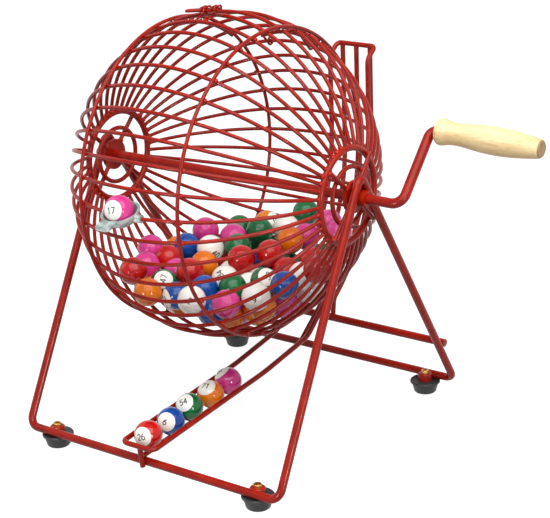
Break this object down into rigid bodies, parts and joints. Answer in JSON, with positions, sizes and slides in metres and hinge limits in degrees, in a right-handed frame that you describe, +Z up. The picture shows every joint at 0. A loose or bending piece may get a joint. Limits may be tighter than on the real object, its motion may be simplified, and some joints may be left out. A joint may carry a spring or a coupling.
{
  "type": "tabletop ball-draw cage",
  "caption": "Round wire cage on a bent-rod stand, turned by a crank, with a filling door, a ball catcher and a wire runway holding drawn balls.",
  "frame": {"origin": "on the table, under the middle of the bounding box", "axes": "+X along the axle towards the crank, +Y towards the hood at the back, +Z up"},
  "size_m": [0.3836, 0.337, 0.3465],
  "materials": {
    "red_paint": "gloss dip-coated red enamel over steel wire",
    "beech": "turned beech, sanded, thin clear lacquer",
    "foot_rubber": "black moulded rubber",
    "screw_brass": "brassed steel screw",
    "plated_steel": "zinc-plated steel",
    "cast_zinc": "raw cast zinc with a mottled skin",
    "ball_red": "gloss plastic with a white numbered patch",
    "ball_blue": "gloss plastic with a white numbered patch",
    "ball_green": "gloss plastic with a white numbered patch",
    "ball_orange": "gloss plastic with a white numbered patch",
    "ball_pink": "gloss plastic with a white numbered patch",
    "ball_white": "gloss plastic with a printed number"
  },
  "bodies": {
    "stand": {"back_wire_crank_side": "red_paint", "back_wire_far_side": "red_paint", "base_rod_back": "red_paint", "base_rod_front": "red_paint", "bearing_sleeve_crank_end": "red_paint", "bearing_sleeve_far_end": "red_paint", "cross_bar_back": "red_paint", "foot_lugs": "red_paint", "foot_nuts": "plated_steel", "foot_screws": "screw_brass", "foot_washers": "plated_steel", "hood_rim": "red_paint", "pile_balls_blue": "ball_blue", "pile_balls_green": "ball_green", "pile_balls_orange": "ball_orange", "pile_balls_pink": "ball_pink", "pile_balls_red": "ball_red", "pile_balls_white": "ball_white", "rubber_feet": "foot_rubber", "runway_floor_wire": "red_paint", "runway_front_post": "red_paint", "runway_side_rails": "red_paint", "side_frame_crank_end": "red_paint", "side_frame_far_end": "red_paint"},
    "drum": {"cage_wires_front": "red_paint", "cage_wires_lower_front": "red_paint", "cage_wires_lower_back": "red_paint", "cage_wires_back": "red_paint", "cage_wires_hinge": "red_paint", "cage_wires_beside_door": "red_paint", "cage_wire_at_catcher": "red_paint", "band_ring_crank_end": "red_paint", "band_ring_far_end": "red_paint", "end_ring_crank_end": "red_paint", "end_ring_far_end": "red_paint", "spider_ring_crank_end": "red_paint", "spider_ring_far_end": "red_paint", "spider_spokes_crank_end": "red_paint", "spider_spokes_far_end": "red_paint", "hub_collar_crank_end": "red_paint", "hub_collar_far_end": "red_paint", "axle_and_crank": "red_paint", "grip_retaining_ring": "plated_steel", "ball_catcher": "cast_zinc", "ball_in_catcher": "ball_pink", "latch_keeper": "red_paint"},
    "door": {"door_frame": "red_paint", "door_wires": "red_paint", "door_hinge_loops": "red_paint", "latch_guides": "red_paint"},
    "latch": {"latch_pin": "red_paint"},
    "grip": {"grip": "beech"},
    "ball_red": {"runway_ball_red": "ball_red"},
    "ball_blue": {"runway_ball_blue": "ball_blue"},
    "ball_green": {"runway_ball_green": "ball_green"},
    "ball_orange": {"runway_ball_orange": "ball_orange"},
    "ball_pink": {"runway_ball_pink": "ball_pink"}
  },
  "joints": [
    {"name": "drum_turn", "type": "hinge", "parent": "stand", "child": "drum", "pos_m": [-0.05831, -0.01856, 0.21125], "axis": [1, 0, 0], "continuous": true},
    {"name": "grip_spin", "type": "hinge", "parent": "drum", "child": "grip", "pos_m": [0.15067, 0.02394, 0.25624], "axis": [0.9997, 0, -0.0262], "continuous": true},
    {"name": "door_hinge", "type": "hinge", "parent": "drum", "child": "door", "pos_m": [-0.05831, 0.07091, 0.29734], "axis": [-1, 0, 0], "range_deg": [0, 110]},
    {"name": "latch_slide", "type": "slide", "parent": "drum", "child": "latch", "axis": [-0.9923, 0.0086, -0.1233], "range_m": [0, 0.014]},
    {"name": "ball_red_roll", "type": "hinge", "parent": "stand", "child": "ball_red", "pos_m": [-0.05921, -0.13116, 0.03294], "axis": [1, 0, 0], "continuous": true},
    {"name": "ball_blue_roll", "type": "hinge", "parent": "stand", "child": "ball_blue", "pos_m": [-0.05741, -0.10586, 0.03454], "axis": [1, 0, 0], "continuous": true},
    {"name": "ball_green_roll", "type": "hinge", "parent": "stand", "child": "ball_green", "pos_m": [-0.05921, -0.08056, 0.03613], "axis": [1, 0, 0], "continuous": true},
    {"name": "ball_orange_roll", "type": "hinge", "parent": "stand", "child": "ball_orange", "pos_m": [-0.05741, -0.05526, 0.03772], "axis": [1, 0, 0], "continuous": true},
    {"name": "ball_pink_roll", "type": "hinge", "parent": "stand", "child": "ball_pink", "pos_m": [-0.05921, -0.02996, 0.03932], "axis": [1, 0, 0], "continuous": true}
  ]
}
